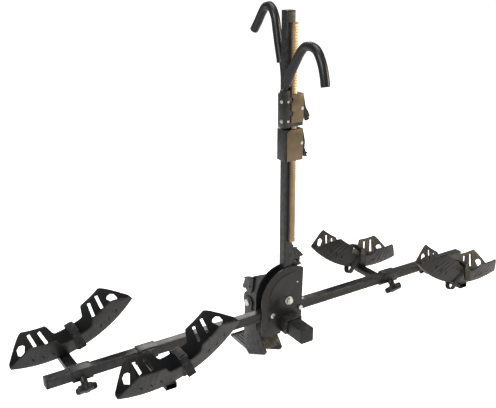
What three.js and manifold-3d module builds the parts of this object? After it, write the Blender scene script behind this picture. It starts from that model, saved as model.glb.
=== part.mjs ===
// Hitch mounted rack for two bikes: a square crossbar on a tilting bracket, a folding ratchet
// mast with two hooks on sliding carriages, and four wheel trays on sliding collars.
// Millimetres, +Z up, +X along the crossbar, -Y towards the end of the tongue.
// Everything is laid out from the crossbar's centre; the finished group is then moved so that
// its origin is where the hitch pin's axis crosses the tongue's centreline.
import * as THREE from 'three';
import { mergeVertices } from 'three/addons/utils/BufferGeometryUtils.js';
import Module from 'manifold-3d';

const wasm = await Module();
wasm.setup();

// ---- driving dimensions ----
const GAP = 0.3;
const TUBE = 31.75, TUBE_WALL = 2.1, HALF = TUBE / 2;
const BAR_HALF = 832, CAP = 4;
const TONGUE = 50.8, TONGUE_WALL = 4, TONGUE_Z = -47.5;
const TONGUE_FRONT = -124, TONGUE_REAR = 172;
const PIN_Y = -92, PIN_R = 8;
const TILT = { y: 180, z: TONGUE_Z, bolt: 8, barrel: 26, ear: 40 };
const BRACKET = { inner: 25.8, wall: 5, front: -55, top: -16.2, web: 4, bottom: -72 };
const PLATE = { t: 4, cx: 4, cz: 48, r: 112, right: 60, leftLow: -52 };
const FOLD = { z: 37, bolt: 6 };
const MAST = { bottom: 26, top: 985 };
const STRIP = { x0: -2, x1: 18, depth: 10, z0: 250, z1: 955, pitch: 8.5, tooth: 2.6 };
const UPPER = { z0: 641, z1: 742 };
const LOWER = { z0: 531, z1: 632 };
const HOOK = { rod: 6.5, sleeve: 13.8, x: -27, y: -27.5 };
const TRAY = { r: 405, floor: 9, half: 52, t: 3.6, wing: 87, waist: 57, tip: 7, y: 156, z: -25 };
const TRAY_TILT = 17.5, TRAY_OFFSET = 70;
const COLLAR = { half: 31, wall: 3 };
const ARM = { half: 18, top: -22.3, deep: 20, wall: 2.5, end: 167 };
const KNOB = { r: 34, top: 41, t: 20, stud: 5, boss: 11, bossEnd: 33 };
const SETS = [
  { name: 'rear_left', x: -728, side: 1, sag: 2 },
  { name: 'front_left', x: -518, side: -1, sag: 2 },
  { name: 'rear_right', x: 466, side: 1, sag: 27 },
  { name: 'front_right', x: 690, side: -1, sag: 27 },
];

// ---- materials ----
const paint = (color, roughness, metalness) =>
  new THREE.MeshStandardMaterial({ color, roughness, metalness });
const MATERIALS = {
  steel: paint(0x2b2c2f, 0.45, 0.4),
  plastic: paint(0x1d1e20, 0.6, 0),
  rubber: paint(0x161617, 0.85, 0),
  zinc: paint(0xc8c8c2, 0.35, 0.9),
  tray: paint(0x26272a, 0.55, 0),
};

// ---- small helpers ----
const v3 = (x, y, z) => new THREE.Vector3(x, y, z);
const rad = (deg) => (deg * Math.PI) / 180;
const root = new THREE.Group();
root.name = 'hitch_mounted_bike_rack';

function add(name, geometry, material) {
  const mesh = new THREE.Mesh(geometry, MATERIALS[material].clone());
  mesh.name = name;
  root.add(mesh);
}

function solid(geometry) {
  const bare = new THREE.BufferGeometry();
  bare.setAttribute('position', geometry.attributes.position);
  bare.setIndex(geometry.index);
  const g = mergeVertices(bare, 1e-4);
  return new wasm.Manifold(new wasm.Mesh({
    numProp: 3,
    vertProperties: new Float32Array(g.attributes.position.array),
    triVerts: new Uint32Array(g.index.array),
  }));
}

function mesh(manifold) {
  const m = manifold.getMesh();
  const g = new THREE.BufferGeometry();
  g.setAttribute('position', new THREE.BufferAttribute(new Float32Array(m.vertProperties), 3));
  g.setIndex(new THREE.BufferAttribute(new Uint32Array(m.triVerts), 1));
  const flat = g.toNonIndexed();
  flat.computeVertexNormals();
  return flat;
}

const join = (...parts) => mesh(parts.map(solid).reduce((a, b) => a.add(b)));
const cut = (base, ...tools) => mesh(tools.map(solid).reduce((a, b) => a.subtract(b), solid(base)));

function slab(x0, x1, y0, y1, z0, z1) {
  const g = new THREE.BoxGeometry(x1 - x0, y1 - y0, z1 - z0);
  return g.translate((x0 + x1) / 2, (y0 + y1) / 2, (z0 + z1) / 2);
}

function polygon(points) {
  return new THREE.Shape(points.map(([a, b]) => new THREE.Vector2(a, b)));
}

function roundedRect(a, b, r) {
  const s = new THREE.Shape();
  s.absarc(a - r, b - r, r, 0, Math.PI / 2);
  s.absarc(-a + r, b - r, r, Math.PI / 2, Math.PI);
  s.absarc(-a + r, -b + r, r, Math.PI, 1.5 * Math.PI);
  s.absarc(a - r, -b + r, r, 1.5 * Math.PI, 2 * Math.PI);
  return s;
}

function extrude(shape, depth, segments = 2) {
  return new THREE.ExtrudeGeometry(shape, { depth, bevelEnabled: false, curveSegments: segments });
}

// A shape drawn in (Y, Z) and run along X, in (X, Z) along Y, or in (X, Y) along Z.
const ALONG_X = new THREE.Matrix4().makeBasis(v3(0, 1, 0), v3(0, 0, 1), v3(1, 0, 0));
const alongX = (s, x0, x1, n) => extrude(s, x1 - x0, n).applyMatrix4(ALONG_X).translate(x0, 0, 0);
const alongY = (s, y0, y1, n) => extrude(s, y1 - y0, n).rotateX(Math.PI / 2).translate(0, y1, 0);
const alongZ = (s, z0, z1, n) => extrude(s, z1 - z0, n).translate(0, 0, z0);

const discZ = (r, z0, z1, x, y, n = 24) =>
  new THREE.CylinderGeometry(r, r, z1 - z0, n).rotateX(Math.PI / 2).translate(x, y, (z0 + z1) / 2);
const discY = (r, y0, y1, x, z, n = 24) =>
  new THREE.CylinderGeometry(r, r, y1 - y0, n).translate(x, (y0 + y1) / 2, z);
const discX = (r, x0, x1, y, z, n = 24) =>
  new THREE.CylinderGeometry(r, r, x1 - x0, n).rotateZ(Math.PI / 2).translate((x0 + x1) / 2, y, z);

function squareRing(half, wall, r) {
  const s = roundedRect(half, half, r);
  s.holes.push(roundedRect(half - wall, half - wall, Math.max(r - wall, 0.6)));
  return s;
}

// ---- tongue ----
function buildTongue() {
  const half = TONGUE / 2;
  const tube = alongY(squareRing(half, TONGUE_WALL, 5), TONGUE_FRONT, TONGUE_REAR)
    .translate(0, 0, TONGUE_Z);
  const cope = discX(TILT.barrel - 3, -40, 40, TILT.y, TILT.z, 40);
  const pinHole = discX(PIN_R, half - TONGUE_WALL - 1, half + 1, PIN_Y, TONGUE_Z);
  const barrel = discX(TILT.barrel, -half, half, TILT.y, TILT.z, 40);
  const bore = discX(TILT.bolt + 0.2, -40, 40, TILT.y, TILT.z);
  add('tongue_tube', cut(join(cut(tube, cope, pinHole), barrel), bore), 'steel');

  const face = alongY(roundedRect(half, half, 5), TONGUE_FRONT - CAP, TONGUE_FRONT - GAP);
  const plug = half - TONGUE_WALL - GAP;
  const stem = alongY(roundedRect(plug, plug, 1), TONGUE_FRONT - 1, TONGUE_FRONT + 16);
  add('tongue_end_cap', join(face, stem).translate(0, 0, TONGUE_Z), 'plastic');
}

// The pedal hangs on the tilt bolt, outside the bracket's ears. The bolt's nut is tightened and
// staked, so bolt and nut are one piece.
const PEDAL = { inner: 31.2, outer: 35.2 };
const TREAD = { near: 184, far: 308, bottom: -250, t: 4, rib: 7, lip: 10 };

function buildTiltBolt() {
  const inside = PEDAL.outer + GAP;
  const head = discX(14, -inside - 9, -inside, TILT.y, TILT.z, 6);
  const shank = discX(TILT.bolt, -inside - 2, inside + 14, TILT.y, TILT.z);
  const nut = discX(14, inside, inside + 12, TILT.y, TILT.z, 6);
  add('tilt_pivot_bolt', join(head, shank, nut), 'zinc');
}

function buildPedal() {
  const wall = polygon([[156, -45], [162, -62], [138, -118], [129, -122], [70, -188], [63, -197],
    [76, -214], [178, -262], [200, -250], [214, -214], [211, -150], [204, -47]]);
  const parts = [];
  for (const x of [-PEDAL.outer, PEDAL.inner]) {
    const x1 = x + PEDAL.outer - PEDAL.inner;
    parts.push(alongX(wall, x, x1), discX(24, x, x1, TILT.y, TILT.z, 32));
  }
  const web = polygon([[129, -122], [70, -188], [73, -191], [132, -125]]);
  parts.push(alongX(web, -PEDAL.outer, PEDAL.outer));
  const { near, far, bottom, t, rib, lip } = TREAD;
  parts.push(slab(-PEDAL.outer, PEDAL.outer, near, far, bottom, bottom + t));
  parts.push(slab(-PEDAL.outer, PEDAL.outer, far - 3, far, bottom, bottom + lip));
  for (const x of [-24, -12, 0, 12, 24]) {
    parts.push(slab(x - 1.5, x + 1.5, near + 22, far - 1, bottom + 1, bottom + rib));
  }
  const bore = discX(TILT.bolt + 0.2, -60, 60, TILT.y, TILT.z);
  const eye = discZ(3, bottom - 5, bottom + 15, 29.5, far - 9, 20);
  add('release_pedal', cut(join(...parts), bore, eye), 'steel');
}

// ---- tilt bracket and base plates ----
function buildBracket() {
  const { inner, wall, front, top, web, bottom } = BRACKET;
  const outer = inner + wall;
  const side = polygon([[front, top], [front, bottom + 7], [front + 7, bottom],
    [TILT.y - 50, bottom], [TILT.y, TILT.z - TILT.ear + 1], [TILT.y, top]]);
  const parts = [slab(-outer, outer, front, TILT.y - 32, top - web, top)];
  for (const x of [-outer, inner]) {
    parts.push(alongX(side, x, x + wall), discX(TILT.ear, x, x + wall, TILT.y, TILT.z, 40));
  }
  const y0 = HALF + GAP + PLATE.t + GAP;
  const brace = polygon([[y0, 132], [150, 66], [178, 48], [184, 30], [176, -4], [150, -18],
    [y0, -18]]);
  parts.push(alongX(brace, -outer, -inner));
  const bore = discX(TILT.bolt + 0.2, -60, 60, TILT.y, TILT.z);
  const latchHole = discX(4 + 0.2, -60, 0, LATCH.y, LATCH.z);
  add('tilt_bracket', cut(join(...parts), bore, latchHole), 'steel');
}

// Outline shared by both base plates: a round shoulder and two lobes straddling the bracket.
function plateOutline() {
  const { cx, cz, r, right, leftLow } = PLATE;
  const lobe = BRACKET.inner + BRACKET.wall + GAP;
  const s = new THREE.Shape();
  s.moveTo(right, -44);
  s.absarc(cx, cz, r, Math.acos((right - cx) / r), Math.PI);
  s.lineTo(cx - r, leftLow);
  s.quadraticCurveTo(cx - r, -76, cx - r + 20, -77);
  s.lineTo(-lobe - 4, -80);
  s.lineTo(-lobe, -76);
  s.lineTo(-lobe, BRACKET.top + GAP);
  s.lineTo(lobe, BRACKET.top + GAP);
  s.lineTo(lobe, -50);
  s.lineTo(right - 6, -50);
  return s;
}

const PLATE_BOLTS = [{ x: -68, z: -1 }, { x: 47, z: -1 }];

function arcBead(y0, y1) {
  const s = new THREE.Shape();
  const { cx, cz } = PLATE;
  s.absarc(cx + 8, cz - 4, 93, rad(74), rad(166), false);
  s.absarc(cx + 8, cz - 4, 87, rad(166), rad(74), true);
  return alongY(s, y0, y1, 8);
}

function buildPlates() {
  const near = -HALF - GAP, far = HALF + GAP;
  const holes = [discY(FOLD.bolt + GAP, -60, 60, 0, FOLD.z)];
  for (const b of PLATE_BOLTS) holes.push(discY(5 + GAP, -60, 60, b.x, b.z));
  const front = join(alongY(plateOutline(), near - PLATE.t, near, 14),
    arcBead(near - PLATE.t - 2.2, near - 1));
  add('front_plate', cut(front, ...holes), 'steel');
  const rear = alongY(plateOutline(), far, far + PLATE.t, 14);
  add('rear_plate', cut(rear, ...holes), 'steel');
}

// The tilt latch is one lever with its own pin, which turns in the bracket's left wall.
const LATCH = { y: 168, z: 18 };

function buildTiltLatch() {
  const x1 = -(BRACKET.inner + BRACKET.wall + GAP);
  const nose = polygon([[142, 66], [176, 56], [196, 48], [209, 20], [217, 4], [209, -5],
    [198, 4], [190, -4], [186, -6], [160, -4], [150, 20]]);
  const blade = alongX(nose, x1 - 6, x1);
  const hood = alongX(polygon([[142, 66], [176, 56], [196, 48], [195, 44], [175, 52], [141, 62]]),
    x1 - 14, x1);
  const pin = discX(4, x1 - 9, x1 + 4, LATCH.y, LATCH.z);
  add('tilt_latch_lever', join(blade, hood, pin), 'steel');
}

function hexBoltY(name, x, z, r, y0, y1, head) {
  const cap = discY(head, y0 - 7, y0, x, z, 6);
  add(name, join(cap, discY(r, y0 - 3, y1, x, z)), 'zinc');
}

function buildBaseHardware() {
  const face = HALF + GAP + PLATE.t + GAP;
  const bolt = join(discY(FOLD.bolt, -face - 14, face + 3, 0, FOLD.z),
    discY(11, face, face + 8, 0, FOLD.z, 6));
  add('mast_pivot_bolt', bolt, 'zinc');
  const nut = join(discY(14.5, -face - 2.4, -face, 0, FOLD.z, 32),
    discY(12, -face - 11, -face - 2, 0, FOLD.z, 6));
  add('mast_pivot_nut', cut(nut, discY(FOLD.bolt + GAP, -60, 0, 0, FOLD.z)), 'zinc');
  PLATE_BOLTS.forEach((b, i) =>
    hexBoltY(`plate_bolt_${i + 1}`, b.x, b.z, 5, -face, face + 6, 9));
}

// ---- crossbar ----
function buildCrossbar() {
  const tube = alongX(squareRing(HALF, TUBE_WALL, 3), -BAR_HALF, BAR_HALF);
  const holes = PLATE_BOLTS.map((b) => discY(5 + GAP, -60, 60, b.x, b.z));
  add('crossbar', cut(tube, ...holes), 'steel');
  for (const [name, s] of [['left', -1], ['right', 1]]) {
    const near = s * (BAR_HALF + GAP), far = s * (BAR_HALF + CAP), deep = s * (BAR_HALF - 14);
    const plug = HALF - TUBE_WALL - GAP;
    const face = alongX(roundedRect(HALF, HALF, 3), Math.min(near, far), Math.max(near, far));
    const start = s * (BAR_HALF + 1);
    const stem = alongX(roundedRect(plug, plug, 0.6), Math.min(start, deep), Math.max(start, deep));
    add(`bar_cap_${name}`, join(face, stem), 'plastic');
  }
}

// ---- mast ----
function stripProfile() {
  const back = -HALF - GAP, face = back - STRIP.depth;
  const n = Math.floor((STRIP.z1 - STRIP.z0 - 10) / STRIP.pitch);
  const pts = [[back, STRIP.z0], [back, STRIP.z1], [face, STRIP.z1]];
  for (let i = 0; i < n; i++) {
    const z = STRIP.z1 - 5 - i * STRIP.pitch;
    pts.push([face, z], [face + STRIP.tooth, z - 0.8]);
    pts.push([face, z - STRIP.pitch + 1.2]);
  }
  pts.push([face, STRIP.z0]);
  return polygon(pts.reverse());
}

function buildMast() {
  const tube = alongZ(squareRing(HALF, TUBE_WALL, 3), MAST.bottom, MAST.top);
  add('mast_tube', cut(tube, discY(FOLD.bolt + 0.2, -60, 60, 0, FOLD.z)), 'steel');
  const plug = HALF - TUBE_WALL - GAP;
  const cap = join(alongZ(roundedRect(HALF, HALF, 3), MAST.top + GAP, MAST.top + CAP),
    alongZ(roundedRect(plug, plug, 0.6), MAST.top - 14, MAST.top + 1));
  add('mast_cap', cap, 'plastic');
  add('ratchet_strip', alongX(stripProfile(), STRIP.x0, STRIP.x1), 'steel');
  const clevis = join(slab(HALF + GAP, HALF + 3.3, -12, 12, 168, 226),
    slab(HALF + 3, HALF + 22, -12, -8, 182, 222), slab(HALF + 3, HALF + 22, 8, 12, 182, 222));
  const bore = discY(MAST_LATCH.pin + 0.2, -20, 20, MAST_LATCH.x, MAST_LATCH.z);
  add('mast_latch_clevis', cut(clevis, bore), 'steel');
}

// Spring latch at the mast's foot, one lever with its own pin, turning in the clevis.
const MAST_LATCH = { x: 28, z: 202, pin: 3.5 };

function buildMastLatch() {
  const lever = polygon([[20.5, 200], [25, 214], [40, 214], [50, 205], [67, 186], [66, 181], [54, 181],
    [53, 163], [59, 156], [59, 151], [22, 151], [20.5, 158]]);
  const blade = alongY(lever, -7.7, 7.7);
  const finger = discY(6, -20, 20, 38, 172, 20);
  const pin = discY(MAST_LATCH.pin, -12.5, 12.5, MAST_LATCH.x, MAST_LATCH.z);
  add('mast_latch_lever', join(cut(blade, finger), pin), 'steel');
}

// ---- carriages ----
const CAR = { front: -33, back: 19.2, cover: 3 };

function carriageCore(z0, z1, left) {
  const body = alongZ(polygon([[left, -28], [left + 5, CAR.front], [36, CAR.front], [36, 8],
    [30, 14], [19.2, CAR.back], [-19.2, CAR.back], [left, 12]]), z0, z1);
  const mastHole = slab(-HALF - GAP, HALF + GAP, -HALF - GAP, HALF + GAP, z0 - 5, z1 + 5);
  const stripHole = slab(STRIP.x0 - GAP, STRIP.x1 + GAP, -HALF - STRIP.depth - 2 * GAP, 0,
    z0 - 5, z1 + 5);
  const pocket = slab(22, 50, CAR.front + 2, -20, z0 + 8, z1 - 4);
  return cut(body, mastHole, stripHole, pocket);
}

function lever(name, tip, z1) {
  const outline = [[31, -14], [36, -8], [40, -6], [44, -24], [48, -44], ...tip, [40, -64],
    [32, -58], [25, -54], [24, -40]];
  const blade = alongY(polygon(outline.map(([x, z]) => [x, z1 + z])), CAR.front + 2.6, -21);
  add(name, cut(blade, discY(3.2, -60, 0, 30, z1 - 46, 16)), 'plastic');
}

function leverPin(name, z) {
  const y0 = CAR.front - GAP - CAR.cover - GAP;
  add(name, join(discY(5, y0 - 1.6, y0, 30, z, 20), discY(3, y0 - 1, -18.2, 30, z, 16)), 'zinc');
}

function cover(name, outline, pinZ) {
  const plate = alongY(outline, CAR.front - GAP - CAR.cover, CAR.front - GAP);
  add(name, cut(plate, discY(3 + GAP, -60, 0, 30, pinZ, 16)), 'steel');
}

function scallopedCover(z0, z1) {
  const zs = [z1 - 17, z1 - 58];
  let plate = alongY(polygon([[-10, z0], [36, z0], [36, z1], [-10, z1]]), -3, 0);
  const notches = zs.map((z) => discY(9, -10, 10, -12, z, 28));
  plate = cut(plate, ...notches);
  return plate.translate(0, CAR.front - GAP, 0);
}

function buildUpperCarriage() {
  const { z0, z1 } = UPPER, pinZ = z1 - 46;
  const socket = alongZ(roundedRect(11.5, 13, 3), z0, z1 + 14).translate(-27.5, -25, 0);
  const body = join(carriageCore(z0, z1, -28), socket);
  const mastHole = slab(-HALF - GAP, HALF + GAP, -HALF - GAP, HALF + GAP, z0 - 5, z1 + 20);
  const rodHole = discZ(HOOK.rod + 0.5, z0 + 6, z1 + 20, HOOK.x, HOOK.y);
  const pinHole = discY(3 + GAP, -60, -17, 30, pinZ, 16);
  add('upper_carriage', cut(body, mastHole, rodHole, pinHole), 'steel');
  const plate = scallopedCover(z0 + 12, z1);
  add('upper_cover', cut(plate, discY(3 + GAP, -60, 0, 30, pinZ, 16)), 'steel');
  lever('upper_lever', [[58, -60], [65, -74], [61, -78], [63, -86], [50, -90]], z1);
  leverPin('upper_lever_pin', pinZ);
  buildHook('upper_hook', 'upper_hook_sleeve', frontHookPath(), 3);
}

function buildLowerCarriage() {
  const { z0, z1 } = LOWER, pinZ = z1 - 46;
  const socket = alongZ(roundedRect(11, 9.5, 3), z0, z1).translate(0, 28, 0);
  const body = join(carriageCore(z0, z1, -30), socket);
  const rodHole = discZ(HOOK.rod + 0.5, z0 + 6, z1 + 10, 0, 28);
  const pinHole = discY(3 + GAP, -60, -17, 30, pinZ, 16);
  add('lower_carriage', cut(body, rodHole, pinHole), 'steel');
  cover('lower_cover', polygon([[-24, z0], [36, z0], [36, z1], [-14, z1], [-22, z1 - 5],
    [-25, z1 - 14]]), pinZ);
  lever('lower_lever', [[47, -66], [51, -78], [61, -84], [53, -88], [60, -96], [45, -94]], z1);
  leverPin('lower_lever_pin', pinZ);
  buildHook('lower_hook', 'lower_hook_sleeve', rearHookPath(), 3.65);
}

// ---- hooks ----
const frontHookPath = () => [[-27.5, UPPER.z0 + 7], [-27.5, 700], [-27.5, 750], [-27.5, 762],
  [-44, 797], [-72, 840], [-105, 884], [-128, 899], [-151, 901], [-177, 893], [-200, 864],
  [-213, 832], [-221, 797]].map(([y, z]) => v3(HOOK.x, y, z));
const rearHookPath = () => [[28, LOWER.z0 + 7], [28, 640], [28, 775], [28.6, 790], [35, 826],
  [48, 872], [60, 920], [71, 962], [87, 986], [105, 994], [124, 989], [144, 969], [167, 939],
  [190, 912]].map(([y, z]) => v3(0, y, z));

function sweep(points, r, n, steps) {
  const s = new THREE.Shape();
  s.absarc(0, 0, r, 0, 2 * Math.PI);
  const path = new THREE.CatmullRomCurve3(points, false, 'centripetal');
  return new THREE.ExtrudeGeometry(s, { extrudePath: path, steps, curveSegments: n });
}

function buildHook(rodName, sleeveName, pts, firstCovered) {
  const curve = new THREE.CatmullRomCurve3(pts, false, 'centripetal');
  const total = 64, start = Math.round((total * (firstCovered + 0.35)) / (pts.length - 1));
  const all = curve.getPoints(total);
  const rodPts = all.slice(0, total - 3);
  const covered = all.slice(start);
  add(rodName, sweep(rodPts, HOOK.rod, 6, 24), 'steel');
  const skin = sweep(covered, HOOK.sleeve, 7, 20);
  const end = rodPts[rodPts.length - 1];
  const bore = join(sweep(rodPts, HOOK.rod + 0.5, 5, 24),
    new THREE.SphereGeometry(HOOK.rod + 0.5, 8, 5).translate(end.x, end.y, end.z));
  add(sleeveName, cut(skin, bore), 'rubber');
}

// ---- wheel trays, drawn about the centre of the wheel they hold ----
function wallHeight(deg) {
  const a = Math.abs(deg);
  if (a > 25.5) {
    const k = Math.min((a - 25.5) / 5.5, 1);
    return TRAY.tip + (TRAY.wing - TRAY.tip) * Math.sqrt(1 - k * k);
  }
  const k = THREE.MathUtils.smoothstep(a, 7.5, 11.5);
  return TRAY.waist + (TRAY.wing - TRAY.waist) * k;
}

function traySection(deg) {
  const { floor, half, t, wing } = TRAY;
  const h = wallHeight(deg), w = floor + ((half - floor) * h) / wing, tx = t + 0.6;
  const inner = floor - 1.4;
  return [[-w, h], [-floor, 0], [floor, 0], [w, h], [w - tx, h], [inner, t], [-inner, t],
    [-w + tx, h]];
}

function trayShell() {
  const half = [31, 30.85, 30.4, 29.6, 28.4, 27, 25.5, 21.5, 17.5, 13.5, 11.5, 10, 9, 7.5, 4];
  const stations = [...half.map((d) => -d), 0, ...half.reverse()];
  const position = [], index = [], n = 8;
  for (const deg of stations) {
    for (const [y, d] of traySection(deg)) {
      const r = TRAY.r - d;
      position.push(r * Math.sin(rad(deg)), y, -r * Math.cos(rad(deg)));
    }
  }
  for (let s = 0; s + 1 < stations.length; s++) {
    for (let k = 0; k < n; k++) {
      const a = s * n + k, b = s * n + ((k + 1) % n);
      index.push(a, b, a + n, b, b + n, a + n);
    }
  }
  const last = (stations.length - 1) * n;
  for (const [i, j, k, l] of [[0, 1, 6, 7], [1, 2, 5, 6], [2, 3, 4, 5]]) {
    index.push(i, k, j, i, l, k);
    index.push(last + i, last + j, last + k, last + i, last + k, last + l);
  }
  const g = new THREE.BufferGeometry();
  g.setAttribute('position', new THREE.Float32BufferAttribute(position, 3));
  g.setIndex(index);
  return g;
}

function windowTool(shape, deg, depth, y0, y1) {
  return alongY(shape, y0, y1, 1).translate(0, 0, -(TRAY.r - depth)).rotateY(-rad(deg));
}

function trayTools() {
  const slot = roundedRect(4.5, 15, 4.4);
  const tools = [];
  for (const s of [-1, 1]) {
    tools.push(windowTool(slot, s * 14.2, 60, 14, 90), windowTool(slot, s * 20.2, 60, 14, 90));
    const dee = polygon([[-10 * s, 14], [12 * s, 10], [8 * s, -12], [-8 * s, -14]]
      .sort((a, b) => Math.atan2(a[1], a[0]) - Math.atan2(b[1], b[0])));
    tools.push(windowTool(dee, s * 26.6, 34, 12, 90));
    for (const deg of [14, 22]) {
      tools.push(windowTool(roundedRect(3, 3, 1.5), s * deg, 30, -90, -12));
    }
    tools.push(windowTool(roundedRect(13, 2.6, 2.5), s * 17.2, 3, -6, 6));
  }
  return tools;
}

const trayBase = cut(trayShell(), ...trayTools());

function inward(set) {
  return set.x < 0 ? 1 : -1;
}

// Moves something drawn about the wheel's centre to its place on the rack.
function onTray(g, set) {
  const s = inward(set);
  return g.rotateY(-s * rad(TRAY_TILT))
    .translate(set.x - s * TRAY_OFFSET, set.side * TRAY.y, TRAY.z + TRAY.r);
}

function buildTray(set) {
  const s = inward(set), yc = set.side * TRAY.y;
  const low = ARM.top + GAP;
  const pts = [[-17, low], [17, low], [17, low + 7.6], [-17, low + 1.8]];
  const foot = polygon(s > 0 ? pts : pts.map(([a, b]) => [-a, b]).reverse());
  const pad = alongY(foot, yc - 8.5, yc + 8.5).translate(set.x, 0, 0);
  add(`tray_${set.name}`, join(onTray(trayBase.clone(), set), pad), 'tray');
}

// ---- strap and buckle at the tray's waist ----
const STRAP = { t: 2.4, half: 12 };

function strapLoop(sag) {
  const { floor, waist, half, wing } = TRAY;
  const top = floor + ((half - floor) * waist) / wing;
  const p = [[0, -1.2 - sag], [floor * 0.8, -1.1 - sag * 0.92], [floor + 2.5, -0.4 - sag * 0.72],
    [top * 0.62 + 2, waist * 0.42], [top + 1.7, waist - 2], [top, waist + 8],
    [top - 10, waist + 14], [0, waist + 15.5]];
  const left = p.slice(1, -1).map(([a, b]) => [-a, b]).reverse();
  const curve = new THREE.CatmullRomCurve3([...p, ...left].map(([a, b]) => v3(a, b, 0)), true,
    'centripetal');
  return curve.getPoints(36).slice(0, 36);
}

function offsetLoop(pts, d) {
  return pts.map((p, i) => {
    const a = pts[(i + pts.length - 1) % pts.length], b = pts[(i + 1) % pts.length];
    const t = b.clone().sub(a).normalize();
    return new THREE.Vector2(p.x + t.y * d, p.y - t.x * d);
  });
}

function buildStrap(set) {
  const loop = strapLoop(set.sag);
  const shape = new THREE.Shape(offsetLoop(loop, STRAP.t));
  shape.holes.push(new THREE.Path(offsetLoop(loop, 0).reverse()));
  const band = alongX(shape, -STRAP.half, STRAP.half).translate(0, 0, -TRAY.r);
  add(`strap_${set.name}`, onTray(band, set), 'rubber');
}

const BUCKLE = { y: -38, z: 82 };

function buildBuckle(set) {
  const z = TRAY.waist + 15.5 + STRAP.t + GAP + 0.4;
  const body = polygon([[-31.5, z - 1.2], [-22, z + 0.4], [-10, z + 0.6], [16, z + 0.4],
    [18, z + 4], [8, z + 9], [-22, z + 10], [-33.4, z + 7]]);
  const ear = polygon([[-29, z + 8], [-29, z - 0.8], [-39, z - 3.4], [-44, z + 5]]);
  const base = join(alongX(body, -13, 13), alongX(ear, -13, -9.4), alongX(ear, 9.4, 13));
  const bore = discX(2.7, -20, 20, BUCKLE.y, BUCKLE.z - 3, 16);
  add(`buckle_base_${set.name}`, onTray(cut(base, bore).translate(0, 0, -TRAY.r), set), 'plastic');
  const blade = polygon([[-37.5, 82.6], [-43, 82.5], [-60, 44], [-62, 34], [-56, 33], [-50, 48],
    [-41, 70], [-35.5, 76]]);
  const wide = polygon([[-49, 69], [-62, 39], [-66, 29], [-58, 30], [-55, 38], [-43.5, 66]]);
  const pin = discX(2.5, -12.6, 12.6, BUCKLE.y, BUCKLE.z - 3, 16);
  const lev = join(alongX(blade, -9, 9), alongX(wide, -13, 13), pin);
  add(`buckle_lever_${set.name}`, onTray(lev.translate(0, 0, -TRAY.r), set), 'plastic');
}

// ---- collars, arms and clamp knobs ----
// Each knob presses on the bar's lower edge, on the side away from the arm: what is drawn hanging
// down from the origin is turned by 45 degrees and moved along the bar.
function towardsKnob(g, set) {
  return g.rotateX(-set.side * rad(45)).translate(set.x, 0, 0);
}

function buildCollar(set) {
  const out = HALF + GAP + COLLAR.wall, s = set.side;
  const ring = alongX(squareRing(out, COLLAR.wall, 3), set.x - COLLAR.half, set.x + COLLAR.half);
  const y = [s * (out - 1), s * (out + 5)].sort((a, b) => a - b);
  const lug = slab(set.x - 21, set.x + 21, y[0], y[1], ARM.top - ARM.deep - 1, out - 4);
  const boss = towardsKnob(discZ(KNOB.boss, -KNOB.bossEnd, -12, 0, 0, 24), set);
  const stud = towardsKnob(discZ(KNOB.stud + 0.2, -KNOB.bossEnd - 3, -12, 0, 0, 20), set);
  const inner = HALF + GAP;
  const barHole = slab(set.x - 40, set.x + 40, -inner, inner, -inner, inner);
  add(`collar_${set.name}`, cut(join(ring, lug, boss), stud, barHole), 'steel');
}

function buildArm(set) {
  const y0 = set.side * (HALF + GAP + COLLAR.wall + 5 + GAP), y1 = set.side * ARM.end;
  const shape = roundedRect(ARM.half, ARM.deep / 2, 3);
  shape.holes.push(roundedRect(ARM.half - ARM.wall, ARM.deep / 2 - ARM.wall, 1));
  const tube = alongY(shape, Math.min(y0, y1), Math.max(y0, y1));
  add(`arm_${set.name}`, tube.translate(set.x, 0, ARM.top - ARM.deep / 2), 'steel');
}

function knobShape() {
  const s = new THREE.Shape();
  for (let i = 0; i < 40; i++) {
    const a = (i / 40) * 2 * Math.PI;
    const r = KNOB.r * (0.64 + 0.36 * ((1 + Math.cos(5 * a)) / 2) ** 1.3);
    if (i) s.lineTo(r * Math.cos(a), r * Math.sin(a));
    else s.moveTo(r, 0);
  }
  return s;
}

function buildKnob(set) {
  const { top, t, stud, bossEnd } = KNOB;
  const head = new THREE.ExtrudeGeometry(knobShape(), { depth: t - 6, bevelEnabled: true,
    bevelThickness: 3, bevelSize: 2.5, bevelOffset: -2.5, bevelSegments: 1 });
  head.translate(0, 0, -top - t + 3);
  const hub = discZ(11, -top - 1, -bossEnd - 1, 0, 0, 20);
  const thread = discZ(stud, -top - 5, -HALF * Math.SQRT2 + 0.8, 0, 0, 20);
  add(`knob_${set.name}`, towardsKnob(join(head, hub, thread), set), 'plastic');
}

// ---- assembly ----
buildTongue();
buildTiltBolt();
buildPedal();
buildBracket();
buildPlates();
buildTiltLatch();
buildBaseHardware();
buildCrossbar();
buildMast();
buildMastLatch();
buildUpperCarriage();
buildLowerCarriage();
for (const set of SETS) {
  buildCollar(set);
  buildArm(set);
  buildKnob(set);
  buildTray(set);
  buildStrap(set);
  buildBuckle(set);
}
root.position.set(0, -PIN_Y, -TONGUE_Z);
root.updateMatrixWorld(true);

export default root;
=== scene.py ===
"""Hitch mounted rack for two bikes: its finished pieces, finishes and stage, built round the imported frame."""

import math

import bmesh
import bpy
from bpy.props import FloatProperty, FloatVectorProperty, IntProperty, PointerProperty
from mathutils import Matrix, Vector


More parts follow.
